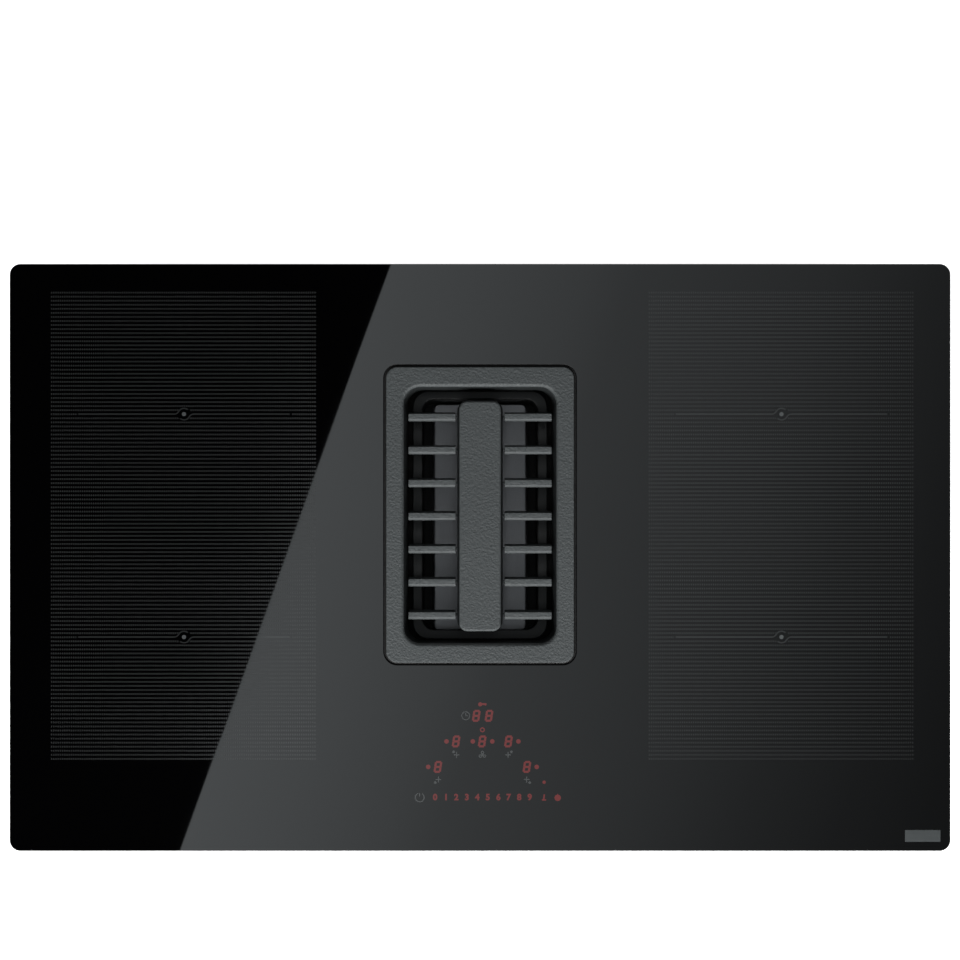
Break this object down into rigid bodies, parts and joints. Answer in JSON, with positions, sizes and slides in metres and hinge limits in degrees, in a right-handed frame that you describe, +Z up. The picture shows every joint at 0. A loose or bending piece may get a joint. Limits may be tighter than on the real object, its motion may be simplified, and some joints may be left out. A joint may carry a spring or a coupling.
{
  "type": "downdraft induction cooktop",
  "caption": "Flat black glass induction hob with a suction well in the middle, a lift-off cast grille over a filter basket, and a fan housing with a flat rear duct outlet below.",
  "frame": {"origin": "under the middle of the glass, on the flat underside of the fan housing", "axes": "+X to the cook's right, +Y to the rear, +Z up"},
  "size_m": [0.83, 0.518, 0.211],
  "materials": {
    "ceramic_glass": "polished black",
    "black_rubber": "matt",
    "textured_casting": "fine-grained coating",
    "black_plastic": "fine matt",
    "grey_plastic": "fine matt",
    "white_plastic": "matt",
    "stainless_steel": "brushed",
    "zinc_coated_steel": "zinc coated",
    "aluminium": "mill",
    "copper_winding": "enamelled wire",
    "ferrite": "sintered",
    "mica": "laminated sheet",
    "circuit_board": "solder mask"
  },
  "bodies": {
    "cooktop": {"glass_panel": "ceramic_glass", "rim_gasket": "black_rubber", "well_gasket": "black_rubber", "inlet_frame": "textured_casting", "well_duct": "black_plastic", "casing_tray": "zinc_coated_steel", "induction_coil_rear_left": "copper_winding", "coil_carrier_rear_left": "aluminium", "ferrite_star_rear_left": "ferrite", "coil_sensor_rear_left": "white_plastic", "induction_coil_front_left": "copper_winding", "coil_carrier_front_left": "aluminium", "ferrite_star_front_left": "ferrite", "coil_sensor_front_left": "white_plastic", "mica_sheet_left": "mica", "power_board_left": "circuit_board", "heat_sink_left": "aluminium", "cooling_fan_housing_left": "black_plastic", "mounting_clip_rear_left": "stainless_steel", "mounting_clip_front_left": "stainless_steel", "induction_coil_rear_right": "copper_winding", "coil_carrier_rear_right": "aluminium", "ferrite_star_rear_right": "ferrite", "coil_sensor_rear_right": "white_plastic", "induction_coil_front_right": "copper_winding", "coil_carrier_front_right": "aluminium", "ferrite_star_front_right": "ferrite", "coil_sensor_front_right": "white_plastic", "mica_sheet_right": "mica", "power_board_right": "circuit_board", "heat_sink_right": "aluminium", "cooling_fan_housing_right": "black_plastic", "mounting_clip_rear_right": "stainless_steel", "mounting_clip_front_right": "stainless_steel", "touch_board": "circuit_board", "touch_board_carrier": "white_plastic", "terminal_box": "black_plastic", "terminal_lid": "black_plastic", "cable_gland": "grey_plastic", "plenum": "grey_plastic", "fan_inlet": "black_plastic", "fan_housing_upper": "grey_plastic", "fan_housing_lower": "grey_plastic", "outlet_collar": "black_plastic", "motor_stator": "copper_winding", "motor_base": "aluminium", "motor_bearing_lower": "stainless_steel", "motor_bearing_upper": "stainless_steel", "motor_grommet_1": "black_rubber", "motor_grommet_2": "black_rubber", "motor_grommet_3": "black_rubber"},
    "filter": {"filter_basket": "black_plastic", "filter_mesh": "stainless_steel", "drip_tray": "stainless_steel"},
    "grille": {"grille": "textured_casting"},
    "impeller": {"impeller": "black_plastic", "motor_rotor": "zinc_coated_steel", "motor_shaft": "stainless_steel"},
    "cooling_fan_left": {"cooling_fan_rotor_left": "black_plastic"},
    "cooling_fan_right": {"cooling_fan_rotor_right": "black_plastic"}
  },
  "joints": [
    {"name": "filter_lift", "type": "slide", "parent": "cooktop", "child": "filter", "axis": [0, 0, 1], "range_m": [0, 0.12]},
    {"name": "grille_lift", "type": "slide", "parent": "filter", "child": "grille", "axis": [0, 0, 1], "range_m": [0, 0.06]},
    {"name": "impeller_spin", "type": "hinge", "parent": "cooktop", "child": "impeller", "pos_m": [0, 0.0377, 0.03], "axis": [0, 0, 1], "continuous": true},
    {"name": "cooling_fan_left_spin", "type": "hinge", "parent": "cooktop", "child": "cooling_fan_left", "pos_m": [-0.2613, 0.1745, 0.16], "axis": [0, 0, 1], "continuous": true},
    {"name": "cooling_fan_right_spin", "type": "hinge", "parent": "cooktop", "child": "cooling_fan_right", "pos_m": [0.2659, 0.1745, 0.16], "axis": [0, 0, 1], "continuous": true}
  ]
}
